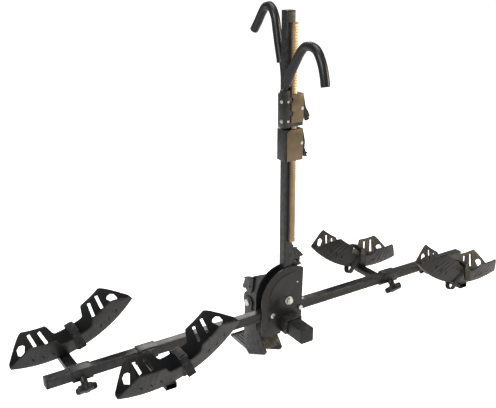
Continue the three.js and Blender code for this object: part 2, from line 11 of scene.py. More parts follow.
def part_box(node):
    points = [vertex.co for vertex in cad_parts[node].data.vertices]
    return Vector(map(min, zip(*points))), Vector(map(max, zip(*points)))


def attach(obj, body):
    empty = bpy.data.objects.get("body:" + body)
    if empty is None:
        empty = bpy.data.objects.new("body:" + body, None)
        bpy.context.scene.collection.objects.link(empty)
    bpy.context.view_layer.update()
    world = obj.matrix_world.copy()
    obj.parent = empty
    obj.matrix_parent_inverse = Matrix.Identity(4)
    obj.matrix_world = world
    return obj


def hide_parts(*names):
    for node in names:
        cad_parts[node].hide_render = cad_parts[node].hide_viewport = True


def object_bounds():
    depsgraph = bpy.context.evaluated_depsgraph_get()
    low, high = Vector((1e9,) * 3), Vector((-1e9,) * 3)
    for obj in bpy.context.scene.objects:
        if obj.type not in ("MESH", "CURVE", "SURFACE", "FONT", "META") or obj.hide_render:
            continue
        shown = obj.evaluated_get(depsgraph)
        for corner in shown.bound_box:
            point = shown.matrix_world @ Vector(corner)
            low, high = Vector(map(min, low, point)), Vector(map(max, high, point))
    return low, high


bl_info = {
    "name": "Hitch Bike Rack",
    "version": (1, 0, 0),
    "blender": (4, 5, 0),
    "location": "View3D > Sidebar > Bike Rack",
    "description": "Builds the trays, straps, hooks, knobs, finishes and stage of a hitch mounted bike rack",
    "category": "Add Mesh",
}

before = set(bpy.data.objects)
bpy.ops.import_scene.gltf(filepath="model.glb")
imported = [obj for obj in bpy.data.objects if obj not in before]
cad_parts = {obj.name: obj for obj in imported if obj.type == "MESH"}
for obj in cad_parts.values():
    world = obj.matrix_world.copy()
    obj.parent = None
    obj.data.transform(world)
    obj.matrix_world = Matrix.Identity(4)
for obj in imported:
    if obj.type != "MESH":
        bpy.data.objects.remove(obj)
CAD_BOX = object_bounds()
MM = 0.001
SETS = ("rear_left", "front_left", "rear_right", "front_right")

STEEL_NODES = (
    "tongue_tube release_pedal tilt_bracket front_plate rear_plate crossbar tilt_latch_lever mast_tube "
    "mast_latch_clevis mast_latch_lever"
).split()
CARRIAGE_NODES = "upper_carriage lower_carriage".split()
COVER_NODES = "upper_cover lower_cover".split()
PLASTIC_NODES = "tongue_end_cap bar_cap_left bar_cap_right mast_cap upper_lever lower_lever".split()
ZINC_NODES = (
    "tilt_pivot_bolt mast_pivot_bolt mast_pivot_nut plate_bolt_1 plate_bolt_2 upper_lever_pin lower_lever_pin"
).split()


# ---- sizes and colours a user would change ----


def length(name, text, value, low=0.0, high=2.0):
    """A length property in metres."""
    return FloatProperty(
        name=name, description=text, default=value, min=low, max=high, unit="LENGTH", precision=4
    )


def angle(name, text, degrees):
    """An angle property, given in degrees."""
    return FloatProperty(name=name, description=text, default=math.radians(degrees), subtype="ANGLE")


def colour(name, text, value):
    """A linear colour property."""
    return FloatVectorProperty(
        name=name, description=text, default=value, min=0, max=1, size=3, subtype="COLOR"
    )


class RackTraySizes(bpy.types.PropertyGroup):
    """Sizes of the four wheel trays."""

    arc: length("Arc radius", "Radius of the trough's underside, about the wheel's centre", 0.405)
    offset: length("Offset", "How far the wheel's centre sits outboard of the collar", 0.070)
    tilt: angle("Tilt", "How far the tray is turned up inwards", 17.5)
    sink: length("Sink", "How far the arc's lowest point lies below the arm's top", 0.0027)
    floor: length("Floor", "Half the width of the trough's floor", 0.009)
    half: length("Half width", "Half the width across the wings' tops", 0.052)
    wing: length("Wing", "Height of the side walls at the wings", 0.087)
    waist: length("Waist", "Height of the side walls at the strap", 0.057)
    wall: length("Wall", "Thickness of the moulding", 0.0036)


class RackHookSizes(bpy.types.PropertyGroup):
    """Sizes of the two frame hooks."""

    rod: length("Rod radius", "Radius of the steel rod", 0.0065)
    sleeve: length("Sleeve radius", "Radius of the rubber sleeve", 0.0138)
    sides: IntProperty(name="Sides", description="Faces round a sleeve", default=32, min=12, max=96)


class RackStrapSizes(bpy.types.PropertyGroup):
    """Sizes of the ratchet straps."""

    thick: length("Thickness", "Thickness of the strap", 0.0024)
    half: length("Half width", "Half the strap's width", 0.012)
    pitch: length("Pitch", "Distance from tooth to tooth", 0.0042)
    tooth: length("Tooth", "Height of a tooth", 0.0009)


class RackColours(bpy.types.PropertyGroup):
    """Base colours of the finishes."""

    steel: colour("Powder coat", "Satin black powder coat", (0.0062, 0.0063, 0.0068))
    # Partly a bronze tint of the cover plates and ratchet strip, partly painted warm light: its lightness
    # stands in for the warm lamp on their fronts.
    bronze_and_painted_warm_light: colour("Bronze", "Dark bronze of the cover plates and ratchet strip", (0.135, 0.104, 0.066))
    tray: colour("Tray", "Moulded tray plastic", (0.0064, 0.0065, 0.0070))
    plastic: colour("Plastic", "Caps, levers, knobs and buckles", (0.0055, 0.0055, 0.0058))
    rubber: colour("Rubber", "Hook sleeves and straps", (0.005, 0.005, 0.0051))
    zinc: colour("Zinc", "Bright zinc plate", (0.72, 0.72, 0.69))
    worn: colour("Worn edge", "Bare steel that shows at rubbed edges", (0.16, 0.155, 0.15))


class RackStageSizes(bpy.types.PropertyGroup):
    """The studio round the rack."""

    azimuth: angle("Azimuth", "Camera's turn", -32.07)
    elevation: angle("Elevation", "Camera's height angle", 20.11)
    roll: angle("Roll", "Camera's roll", -0.383)
    place: FloatVectorProperty(
        name="Place", description="Where the camera stands", default=(-1.30635, -1.75889, 1.25348),
        subtype="XYZ",
    )
    lens: FloatProperty(
        name="Lens", description="Focal length in millimetres on a 36 mm sensor", default=53.92
    )
    floor: colour("Floor", "Pale studio floor", (0.90, 0.90, 0.90))


# ---- shader node groups ----


def group_tree(name, inputs, outputs):
    """A shader node group with float or vector sockets, and its input and output nodes."""
    tree = bpy.data.node_groups.new(name, "ShaderNodeTree")
    for label, kind, value in inputs:
        socket = tree.interface.new_socket(name=label, in_out="INPUT", socket_type=kind)
        if value is not None:
            socket.default_value = value
    for label, kind in outputs:
        tree.interface.new_socket(name=label, in_out="OUTPUT", socket_type=kind)
    return tree, tree.nodes.new("NodeGroupInput"), tree.nodes.new("NodeGroupOutput")


def noise(tree, vector, scale, detail=3.0, rough=0.55):
    """A noise texture's factor. scale is a number or a socket."""
    tex = tree.nodes.new("ShaderNodeTexNoise")
    tex.inputs["Detail"].default_value = detail
    tex.inputs["Roughness"].default_value = rough
    tree.links.new(vector, tex.inputs["Vector"])
    if isinstance(scale, (int, float)):
        tex.inputs["Scale"].default_value = scale
    else:
        tree.links.new(scale, tex.inputs["Scale"])
    return tex.outputs["Fac"]


def ramp(tree, value, low, high, to_low=0.0, to_high=1.0):
    """value mapped from low..high to to_low..to_high, and clamped."""
    node = tree.nodes.new("ShaderNodeMapRange")
    tree.links.new(value, node.inputs["Value"])
    ends = {"From Min": low, "From Max": high, "To Min": to_low, "To Max": to_high}
    for label, end in ends.items():
        if isinstance(end, (int, float)):
            node.inputs[label].default_value = end
        else:
            tree.links.new(end, node.inputs[label])
    return node.outputs["Result"]


def maths(tree, operation, a, b):
    """The result of a math node on two sockets or numbers."""
    node = tree.nodes.new("ShaderNodeMath")
    node.operation = operation
    for i, value in enumerate((a, b)):
        if isinstance(value, (int, float)):
            node.inputs[i].default_value = value
        else:
            tree.links.new(value, node.inputs[i])
    return node.outputs[0]


FLOAT, VECTOR = "NodeSocketFloat", "NodeSocketVector"


def build_grain_group():
    """Surface grain: a fine height for bump, and a roughness that drifts between two values."""
    tree, gin, gout = group_tree(
        "Surface Grain",
        [
            ("Vector", VECTOR, None), ("Scale", FLOAT, 900.0), ("Smoothest", FLOAT, 0.35),
            ("Roughest", FLOAT, 0.5),
        ],
        [("Height", FLOAT), ("Roughness", FLOAT)],
    )
    fine = noise(tree, gin.outputs["Vector"], gin.outputs["Scale"], 2.0)
    broad = noise(tree, gin.outputs["Vector"], 22.0, 4.0, 0.6)
    mixed = maths(tree, "ADD", maths(tree, "MULTIPLY", fine, 0.35), maths(tree, "MULTIPLY", broad, 0.65))
    tree.links.new(fine, gout.inputs["Height"])
    rough = ramp(tree, mixed, 0.35, 0.65, gin.outputs["Smoothest"], gin.outputs["Roughest"])
    tree.links.new(rough, gout.inputs["Roughness"])
    return tree


def build_wear_group():
    """Edge wear: a mask that is high where outer edges rub bare, broken up by noise."""
    tree, gin, gout = group_tree(
        "Edge Wear",
        [("Vector", VECTOR, None), ("Amount", FLOAT, 0.5), ("Scale", FLOAT, 60.0)],
        [("Mask", FLOAT)],
    )
    geometry = tree.nodes.new("ShaderNodeNewGeometry")
    edge = ramp(tree, geometry.outputs["Pointiness"], 0.515, 0.60)
    patches = ramp(tree, noise(tree, gin.outputs["Vector"], gin.outputs["Scale"], 5.0, 0.65), 0.45, 0.62)
    mask = maths(tree, "MULTIPLY", maths(tree, "MULTIPLY", edge, patches), gin.outputs["Amount"])
    tree.links.new(mask, gout.inputs["Mask"])
    return tree


def build_dust_group():
    """Dust: a mask that settles on upward faces in soft patches."""
    tree, gin, gout = group_tree(
        "Settled Dust",
        [("Vector", VECTOR, None), ("Amount", FLOAT, 0.2), ("Scale", FLOAT, 14.0)],
        [("Mask", FLOAT)],
    )
    geometry = tree.nodes.new("ShaderNodeNewGeometry")
    split = tree.nodes.new("ShaderNodeSeparateXYZ")
    tree.links.new(geometry.outputs["Normal"], split.inputs[0])
    up = ramp(tree, split.outputs["Z"], 0.2, 1.0)
    patches = ramp(tree, noise(tree, gin.outputs["Vector"], gin.outputs["Scale"], 6.0, 0.7), 0.4, 0.7)
    mask = maths(tree, "MULTIPLY", maths(tree, "MULTIPLY", up, patches), gin.outputs["Amount"])
    tree.links.new(mask, gout.inputs["Mask"])
    return tree


def grouped(tree, group, vector, **values):
    """A group node placed in a material with its own values."""
    node = tree.nodes.new("ShaderNodeGroup")
    node.node_tree = group
    tree.links.new(vector, node.inputs["Vector"])
    for label, value in values.items():
        node.inputs[label].default_value = value
    return node


def blend_colour(tree, mask, a, b):
    """Colour a turning to colour b where mask is 1. a and b are colours or sockets."""
    mix = tree.nodes.new("ShaderNodeMix")
    mix.data_type = "RGBA"
    tree.links.new(mask, mix.inputs["Factor"])
    for label, value in (("A", a), ("B", b)):
        socket = next(s for s in mix.inputs if s.name == label and s.type == "RGBA")
        if isinstance(value, bpy.types.NodeSocket):
            tree.links.new(value, socket)
        else:
            socket.default_value = (*value, 1.0)
    return next(s for s in mix.outputs if s.type == "RGBA")


DUST_COLOUR = (0.22, 0.21, 0.19)
GRAIN_DEPTH = 0.0004
COAT_ROUGHNESS = 0.18


def finish_material(
    name, base, second, metallic, grain, smooth, rough, bump, wear=0.0, dust=0.0, specular=0.5, coat=0.0
):
    """A procedural finish: base drifts to second in patches, with grain, worn edges and settled dust."""
    groups = bpy.data.node_groups
    material = bpy.data.materials.new(name)
    material.use_nodes = True
    tree = material.node_tree
    shader = tree.nodes["Principled BSDF"]
    where = tree.nodes.new("ShaderNodeTexCoord").outputs["Object"]
    fine = grouped(tree, groups["Surface Grain"], where, Scale=grain, Smoothest=smooth, Roughest=rough)
    patches = ramp(tree, noise(tree, where, 16.0, 4.0, 0.6), 0.35, 0.65)
    tone = blend_colour(tree, patches, base, second)
    if dust:
        settled = grouped(tree, groups["Settled Dust"], where, Amount=dust)
        tone = blend_colour(tree, settled.outputs["Mask"], tone, DUST_COLOUR)
    if wear:
        rubbed = grouped(tree, groups["Edge Wear"], where, Amount=wear)
        worn = bpy.context.scene.rack_colours.worn
        tone = blend_colour(tree, rubbed.outputs["Mask"], tone, tuple(worn))
    tree.links.new(tone, shader.inputs["Base Color"])
    tree.links.new(fine.outputs["Roughness"], shader.inputs["Roughness"])
    relief = tree.nodes.new("ShaderNodeBump")
    relief.inputs["Strength"].default_value = bump
    relief.inputs["Distance"].default_value = GRAIN_DEPTH
    tree.links.new(fine.outputs["Height"], relief.inputs["Height"])
    tree.links.new(relief.outputs["Normal"], shader.inputs["Normal"])
    shader.inputs["Metallic"].default_value = metallic
    shader.inputs["Specular IOR Level"].default_value = specular
    shader.inputs["Coat Weight"].default_value = coat
    shader.inputs["Coat Roughness"].default_value = COAT_ROUGHNESS
    return material


def lighter(base, factor):
    """A colour made lighter, or darker below 1."""
    return tuple(min(c * factor, 1.0) for c in base)


def build_finishes(colours):
    """Every finish of the rack, by name."""
    build_grain_group()
    build_wear_group()
    build_dust_group()
    steel, bronze_and_painted_warm_light, tray = tuple(colours.steel), tuple(colours.bronze_and_painted_warm_light), tuple(colours.tray)
    plastic, rubber, zinc = tuple(colours.plastic), tuple(colours.rubber), tuple(colours.zinc)
    finish_material(
        "powder_coat", steel, lighter(steel, 1.5), metallic=0.0, grain=1100, smooth=0.30, rough=0.46,
        bump=0.35, wear=0.35, dust=0.012, specular=0.38, coat=0.1,
    )
    finish_material(
        "weld_bead", lighter(steel, 1.2), lighter(steel, 2.0), metallic=0.1, grain=700, smooth=0.34,
        rough=0.5, bump=0.6, wear=0.3,
    )
    # Cover plates: a bronze tint, made light as painted warm light on the carriages' fronts.
    finish_material(
        "bronze_coat_and_painted_warm_light", bronze_and_painted_warm_light, lighter(bronze_and_painted_warm_light, 1.35), metallic=0.7, grain=900, smooth=0.30, rough=0.45,
        bump=0.25, wear=0.2, dust=0.02,
    )
    # Ratchet strip: dark warm metal, with the bronze lightened 1.9 to 2.6 times as a painted highlight of the
    # warm light on the strip.
    finish_material(
        "ratchet_steel_painted_highlight", lighter(bronze_and_painted_warm_light, 1.9), lighter(bronze_and_painted_warm_light, 2.6), metallic=0.8, grain=600, smooth=0.28,
        rough=0.46, bump=0.2, wear=0.3,
    )
    finish_material(
        "tray_moulding", tray, lighter(tray, 1.6), metallic=0.0, grain=1500, smooth=0.34, rough=0.52,
        bump=0.5, wear=0.1, dust=0.015, specular=0.35,
    )
    finish_material(
        "moulded_plastic", plastic, lighter(plastic, 1.6), metallic=0.0, grain=1700, smooth=0.36,
        rough=0.56, bump=0.5, wear=0.1, dust=0.015, specular=0.35,
    )
    finish_material(
        "sleeve_rubber", rubber, lighter(rubber, 1.5), metallic=0.0, grain=500, smooth=0.30, rough=0.42,
        bump=0.12, dust=0.01, specular=0.4, coat=0.1,
    )
    finish_material(
        "strap_rubber", rubber, lighter(rubber, 1.8), metallic=0.0, grain=1300, smooth=0.42, rough=0.62,
        bump=0.4, wear=0.1, dust=0.02, specular=0.35,
    )
    finish_material(
        "zinc_plate", lighter(zinc, 0.85), zinc, metallic=1.0, grain=500, smooth=0.22, rough=0.42,
        bump=0.15, dust=0.04,
    )
    finish_material(
        "black_bolt", lighter(steel, 2.0), lighter(steel, 4.0), metallic=0.7, grain=700, smooth=0.28,
        rough=0.42, bump=0.2, wear=0.5,
    )


# ---- mesh tools ----


def new_piece(name, mesh, material, body, replaces=(), sharp=35.0):
    """Links a mesh in as a smooth-shaded piece that rides on a body. Edges over sharp degrees stay hard."""
    mesh.materials.clear()
    mesh.materials.append(bpy.data.materials[material])
    mesh.shade_smooth()
    mesh.set_sharp_from_angle(angle=math.radians(sharp))
    piece = bpy.data.objects.new(name, mesh)
    bpy.context.scene.collection.objects.link(piece)
    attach(piece, body)
    if replaces:
        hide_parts(*replaces)
    return piece


def mesh_from(name, points, faces):
    """A mesh with its faces turned outwards."""
    bm = bmesh.new()
    verts = [bm.verts.new(p) for p in points]
    for face in faces:
        bm.faces.new([verts[i] for i in face])
    bmesh.ops.recalc_face_normals(bm, faces=bm.faces)
    mesh = bpy.data.meshes.new(name)
    bm.to_mesh(mesh)
    bm.free()
    return mesh


def loft(name, rings, closed=False):
    """A skin over rings of equal length. Open lofts get flat caps."""
    count, n = len(rings), len(rings[0])
    points = [p for ring in rings for p in ring]
    faces = []
    for i in range(count if closed else count - 1):
        j = (i + 1) % count
        for k in range(n):
            m = (k + 1) % n
            faces.append((i * n + k, i * n + m, j * n + m, j * n + k))
    if not closed:
        faces.append(tuple(range(n)))
        faces.append(tuple(range((count - 1) * n, count * n)))
    return mesh_from(name, points, faces)


def shaped(mesh, *modifiers):
    """mesh after a list of (type, settings) modifiers, as a new mesh."""
    holder = bpy.data.objects.new("holder", mesh)
    bpy.context.scene.collection.objects.link(holder)
    for kind, settings in modifiers:
        modifier = holder.modifiers.new(kind.lower(), kind)
        for key, value in settings.items():
            setattr(modifier, key, value)
    bpy.context.view_layer.update()
    graph = bpy.context.evaluated_depsgraph_get()
    made = bpy.data.meshes.new_from_object(holder.evaluated_get(graph))
    bpy.data.objects.remove(holder)
    return made


def joined(name, meshes):
    """Several meshes as one."""
    bm = bmesh.new()
    for mesh in meshes:
        bm.from_mesh(mesh)
    made = bpy.data.meshes.new(name)
    bm.to_mesh(made)
    bm.free()
    return made


def placed(mesh, matrix):
    """A copy of mesh moved by matrix."""
    copy = mesh.copy()
    copy.transform(matrix)
    return copy


def turned(axis):
    """The rotation that takes +Z to axis."""
    return Vector(axis).to_track_quat("Z", "Y").to_matrix().to_4x4()


def spline(points, position):
    """A point of the centripetal Catmull-Rom curve through points, position from 0 to 1."""
    last = len(points) - 1
    at = min(max(position, 0.0), 1.0) * last
    i = min(int(at), last - 1)
    w = at - i
    p1, p2 = points[i], points[i + 1]
    p0 = points[i - 1] if i else p1 + (p1 - p2)
    p3 = points[i + 2] if i + 2 <= last else p2 + (p2 - p1)
    d0, d1, d2 = (max((b - a).length, 1e-9) ** 0.5 for a, b in ((p0, p1), (p1, p2), (p2, p3)))
    t1 = ((p1 - p0) / d0 - (p2 - p0) / (d0 + d1) + (p2 - p1) / d1) * d1
    t2 = ((p2 - p1) / d1 - (p3 - p1) / (d1 + d2) + (p3 - p2) / d2) * d1
    c2, c3 = -3 * p1 + 3 * p2 - 2 * t1 - t2, 2 * p1 - 2 * p2 + t1 + t2
    return p1 + t1 * w + c2 * w * w + c3 * w * w * w


def tube_rings(path, radii, sides, side):
    """Rings of the given radii round a path whose bends lie in one plane, square to side."""
    rings = []
    for i, p in enumerate(path):
        a, b = path[max(i - 1, 0)], path[min(i + 1, len(path) - 1)]
        along = (b - a).normalized()
        up = side.cross(along).normalized()
        turns = (2 * math.pi * k / sides for k in range(sides))
        rings.append([p + (side * math.cos(t) + up * math.sin(t)) * radii[i] for t in turns])
    return rings


def rounded_rectangle(half_x, half_y, radius, steps=4):
    """Corner-rounded rectangle as 2-D points, anticlockwise."""
    points = []
    for cx, cy, start in ((1, 1, 0), (-1, 1, 1), (-1, -1, 2), (1, -1, 3)):
        for k in range(steps + 1):
            t = (start + k / steps) * math.pi / 2
            x = cx * (half_x - radius) + radius * math.cos(t)
            points.append((x, cy * (half_y - radius) + radius * math.sin(t)))
    return points


def prism(name, outline, low, high):
    """An outline in X and Y run along Z."""
    return loft(name, [[Vector((x, y, z)) for x, y in outline] for z in (low, high)])


def turned_profile(name, profile, sides=32):
    """A solid turned about Z from (radius, height) points, bottom to top."""
    turns = [2 * math.pi * k / sides for k in range(sides)]
    rings = [[Vector((r * math.cos(t), r * math.sin(t), z)) for t in turns] for r, z in profile]
    return loft(name, rings)


def hex_bolt(radius, head):
    """A flanged hexagon head standing on the origin along +Z, with a chamfered top."""
    skirt = [(radius * 1.25, 0), (radius * 1.3, head * 0.12), (radius * 0.95, head * 0.3)]
    flange = turned_profile("flange", skirt)
    rings = []
    for share, z in ((1.0, 0.2), (1.0, 0.86), (0.86, 1.0)):
        r, turns = radius * share, (math.pi * k / 3 for k in range(6))
        rings.append([Vector((r * math.cos(t), r * math.sin(t), head * z)) for t in turns])
    top = shaped(loft("hexagon", rings), ("BEVEL", {"width": 0.0003, "segments": 2, "limit_method": "ANGLE"}))
    return joined("hex_bolt", [flange, top])


def button_bolt(radius, head):
    """A domed head with a round socket, standing on the origin along +Z."""
    dome = [(radius, 0), (radius, head * 0.2)]
    dome += [(radius * math.cos(a), head * (0.2 + 0.8 * math.sin(a))) for a in (0.4, 0.8, 1.05)]
    dome += [(radius * 0.42, head), (radius * 0.38, head * 0.45)]
    return turned_profile("button_bolt", dome)


# ---- frame pieces that keep their solid ----


SHADE_ANGLE = math.radians(38)
BEVEL_ANGLE = math.radians(42)
FLAT_ANGLE = math.radians(0.5)
WELD_DISTANCE = 1e-5


def smooth_tree():
    """A geometry node group that shades smooth across shallow edges."""
    if "Shade By Angle" in bpy.data.node_groups:
        return bpy.data.node_groups["Shade By Angle"]
    tree = bpy.data.node_groups.new("Shade By Angle", "GeometryNodeTree")
    for side in ("INPUT", "OUTPUT"):
        tree.interface.new_socket(name="Geometry", in_out=side, socket_type="NodeSocketGeometry")
    gin, gout = tree.nodes.new("NodeGroupInput"), tree.nodes.new("NodeGroupOutput")
    faces, edges = (tree.nodes.new("GeometryNodeSetShadeSmooth") for _ in range(2))
    edges.domain = "EDGE"
    edges.inputs["Shade Smooth"].default_value = False
    angle = tree.nodes.new("GeometryNodeInputMeshEdgeAngle")
    steep = tree.nodes.new("FunctionNodeCompare")
    steep.operation = "GREATER_THAN"
    steep.inputs["B"].default_value = SHADE_ANGLE
    tree.links.new(angle.outputs["Unsigned Angle"], steep.inputs["A"])
    tree.links.new(steep.outputs["Result"], edges.inputs["Selection"])
    tree.links.new(gin.outputs[0], faces.inputs["Geometry"])
    tree.links.new(faces.outputs[0], edges.inputs["Geometry"])
    tree.links.new(edges.outputs[0], gout.inputs[0])
    return tree


def dress(node, material, edge):
    """Gives a frame node its finish and softly rounded edges, by modifiers alone."""
    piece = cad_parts[node]
    piece.data.materials.clear()
    piece.data.materials.append(bpy.data.materials[material])
    weld = piece.modifiers.new("weld", "WELD")
    weld.merge_threshold = WELD_DISTANCE
    flat = piece.modifiers.new("planar", "DECIMATE")
    flat.decimate_type = "DISSOLVE"
    flat.angle_limit = FLAT_ANGLE
    bevel = piece.modifiers.new("edges", "BEVEL")
    bevel.width = edge
    bevel.segments = 3
    bevel.limit_method = "ANGLE"
    bevel.angle_limit = BEVEL_ANGLE
    bevel.use_clamp_overlap = True
    shade = piece.modifiers.new("shade", "NODES")
    shade.node_group = smooth_tree()


class RACK_OT_dress_frame(bpy.types.Operator):
    """Give the steel tubes, plates, carriages, caps and hardware their finishes and rounded edges"""

    bl_idname = "rack.dress_frame"
    bl_label = "Frame, Carriages and Hardware"

    def execute(self, context):
        build_finishes(context.scene.rack_colours)
        for node in STEEL_NODES:
            dress(node, "powder_coat", 0.7 * MM)
        for node in CARRIAGE_NODES:
            dress(node, "powder_coat", 1.0 * MM)
        for node in COVER_NODES:
            dress(node, "bronze_coat_and_painted_warm_light", 1.0 * MM)
        for node in PLASTIC_NODES:
            dress(node, "moulded_plastic", 0.8 * MM)
        for node in ZINC_NODES:
            dress(node, "zinc_plate", 0.5 * MM)
        dress("ratchet_strip", "ratchet_steel_painted_highlight", 0.25 * MM)
        for name in SETS:
            dress(f"collar_{name}", "powder_coat", 0.7 * MM)
            dress(f"arm_{name}", "powder_coat", 0.6 * MM)
            dress(f"buckle_base_{name}", "moulded_plastic", 1.0 * MM)
            dress(f"buckle_lever_{name}", "moulded_plastic", 1.0 * MM)
        return {"FINISHED"}


# ---- wheel trays ----


def middle(node):
    """The middle of a frame node's box."""
    low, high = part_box(node)
    return (low + high) / 2


def tray_matrix(name, sizes):
    """From a tray drawn about its wheel's centre to its place on the rack."""
    collar, tray = middle(f"collar_{name}"), middle(f"tray_{name}")
    inward = 1 if collar.x < 0 else -1
    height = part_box(f"arm_{name}")[1].z - sizes.sink + sizes.arc
    centre = Vector((collar.x - inward * sizes.offset, tray.y, height))
    return Matrix.Translation(centre) @ Matrix.Rotation(-inward * sizes.tilt, 4, "Y")


# Angles along a tray are in degrees from its middle, about the wheel's centre.
TRAY_END, TRAY_SHOULDER = 31.0, 24.5
WAIST_FROM, WAIST_TO = 7.5, 11.5
TIP_HEIGHT = 0.007
LIP = 0.0032
TRAY_STEPS = 96
FLUTE_DEPTH, FLUTE_TURNS = 0.0013, 120
SLOT_ANGLES, SLOT_RISE, SLOT_LEAN = (14.0, 19.6), 0.056, 22
CORNER_ANGLE, CORNER_RISE = 25.4, 0.034
SLIT_ANGLES, SLIT_RISE, SLIT_LEAN = (12.6, 17.4, 22.4), 0.030, 35
DRAIN_ANGLE, DRAIN_REACH = 17.2, 0.012
FAR_WALL, NEAR_WALL = (-0.09, -0.018), (0.012, 0.09)
CORNER_REACH = (-0.09, -0.016)
CORNER_WINDOW = ((-13, 13), (-5, 17), (6, 15), (13, 6), (10, -11), (-9, -15))


def smoothstep(value, low, high):
    """0 below low, 1 above high, and eased between."""
    k = min(max((value - low) / (high - low), 0.0), 1.0)
    return k * k * (3 - 2 * k)


def wall_height(sizes, degrees):
    """Height of a tray's side wall at an angle from its middle."""
    a = abs(degrees)
    if a > TRAY_SHOULDER:
        k = min((a - TRAY_SHOULDER) / (TRAY_END - TRAY_SHOULDER), 1.0)
        return TIP_HEIGHT + (sizes.wing - TIP_HEIGHT) * (1 - k**1.7)
    return sizes.waist + (sizes.wing - sizes.waist) * smoothstep(a, WAIST_FROM, WAIST_TO)


def flute(degrees, rise):
    """Depth of the shallow flutes pressed into a wing, at a share of the wall's height."""
    wings = smoothstep(abs(degrees), 12, 14) * (1 - smoothstep(abs(degrees), 23, 25))
    wave = 0.5 + 0.5 * math.cos(math.radians(degrees * FLUTE_TURNS))
    return FLUTE_DEPTH * wings * math.sin(math.pi * rise) ** 0.5 * wave


def tray_section(sizes, degrees):
    """Half of the trough's section from the floor's middle to the rolled lip: (across, height) points."""
    height = wall_height(sizes, degrees)
    out = sizes.floor + (sizes.half - sizes.floor) * height / sizes.wing
    slope = Vector((out - sizes.floor, height))
    along = slope.normalized()
    normal = Vector((along.y, -along.x))
    points = [Vector((0, 0)), Vector((sizes.floor * 0.55, 0))]
    points += [Vector((sizes.floor * 0.9, 0.0004)), Vector((sizes.floor + 0.0008, 0.0022))]
    foot, steps = Vector((sizes.floor, 0)), 12
    for k in range(1, steps + 1):
        rise = k / steps * 0.94 + 0.05
        points.append(foot + slope * min(rise, 0.985) + normal * flute(degrees, min(rise, 1.0)))
    top = foot + slope
    lip = min(LIP, height * 0.3)
    points += [top + normal * lip * 0.25, top + normal * lip * 0.75 - along * lip * 0.1]
    points.append(top + normal * lip - along * lip * 0.7)
    return points


def tray_sheet(sizes):
    """The trough as one curved sheet, drawn about the wheel's centre."""
    count = TRAY_STEPS
    points, faces = [], []
    for i in range(count + 1):
        share = i / count * 2 - 1
        degrees = TRAY_END * (0.75 * share + 0.25 * math.sin(share * math.pi / 2))
        half = tray_section(sizes, degrees)
        line = [Vector((-p.x, p.y)) for p in reversed(half[1:])] + half
        a = math.radians(degrees)
        for p in line:
            r = sizes.arc - p.y
            points.append(Vector((r * math.sin(a), p.x, -r * math.cos(a))))
    n = len(points) // (count + 1)
    for i in range(count):
        for k in range(n - 1):
            faces.append((i * n + k, i * n + k + 1, (i + 1) * n + k + 1, (i + 1) * n + k))
    bm = bmesh.new()
    verts = [bm.verts.new(p) for p in points]
    for face in faces:
        bm.faces.new([verts[i] for i in face])
    bm.normal_update()
    mesh = bpy.data.meshes.new("tray_sheet")
    bm.to_mesh(mesh)
    bm.free()
    return mesh


def window(sizes, outline, degrees, rise, low, high, lean=0.0):
    """A cutter for a window in a side wall, at an angle along the tray and a height up the wall."""
    tool = prism("window", outline, low, high)
    face = Matrix.Rotation(math.pi / 2, 4, "X") @ Matrix.Rotation(math.radians(lean), 4, "Z")
    tool.transform(Matrix.Translation((0, 0, rise - sizes.arc)) @ face)
    tool.transform(Matrix.Rotation(-math.radians(degrees), 4, "Y"))
    return tool


def tray_cutters(sizes):
    """Slots and a corner window in the far wall, slits in the near wall and drains in the floor."""
    slot = rounded_rectangle(4.8 * MM, 21 * MM, 1.6 * MM)
    slit = rounded_rectangle(1.9 * MM, 8 * MM, 1.8 * MM)
    drain = rounded_rectangle(13 * MM, 2.6 * MM, 2.5 * MM)
    tools = []
    for side in (-1, 1):
        corner = [(x * side * MM, y * MM) for x, y in CORNER_WINDOW[::side]]
        for degrees in SLOT_ANGLES:
            tools.append(window(sizes, slot, side * degrees, SLOT_RISE, *FAR_WALL, -side * SLOT_LEAN))
        tools.append(window(sizes, corner, side * CORNER_ANGLE, CORNER_RISE, *CORNER_REACH))
        for degrees in SLIT_ANGLES:
            tools.append(window(sizes, slit, side * degrees, SLIT_RISE, *NEAR_WALL, -side * SLIT_LEAN))
        bottom = prism("drain", drain, -DRAIN_REACH, DRAIN_REACH)
        bottom.transform(Matrix.Translation((0, 0, -sizes.arc)))
        bottom.transform(Matrix.Rotation(-math.radians(side * DRAIN_ANGLE), 4, "Y"))
        tools.append(bottom)
    return joined("tray_cutters", tools)


PAD = {"gap": 0.0003, "half": 0.0168, "deep": 0.0086, "tall": 0.0082, "short": 0.0030}


def tray_pad(name, sizes):
    """The wedge-shaped foot that seats a tray on its arm, in the row's frame."""
    arm_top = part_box(f"arm_{name}")[1].z
    collar, tray = middle(f"collar_{name}"), middle(f"tray_{name}")
    inward = 1 if collar.x < 0 else -1
    low, half = arm_top + PAD["gap"], PAD["half"]
    tall, short = low + PAD["tall"], low + PAD["short"]
    wedge = [(-half, low), (half, low), (half, tall), (-half, short)]
    rings = []
    for y in (tray.y - PAD["deep"], tray.y + PAD["deep"]):
        rings.append([Vector((collar.x + inward * x, y, z)) for x, z in wedge])
    bevel = {"width": 0.0008, "segments": 2, "limit_method": "ANGLE"}
    return shaped(loft("tray_pad", rings), ("BEVEL", bevel))


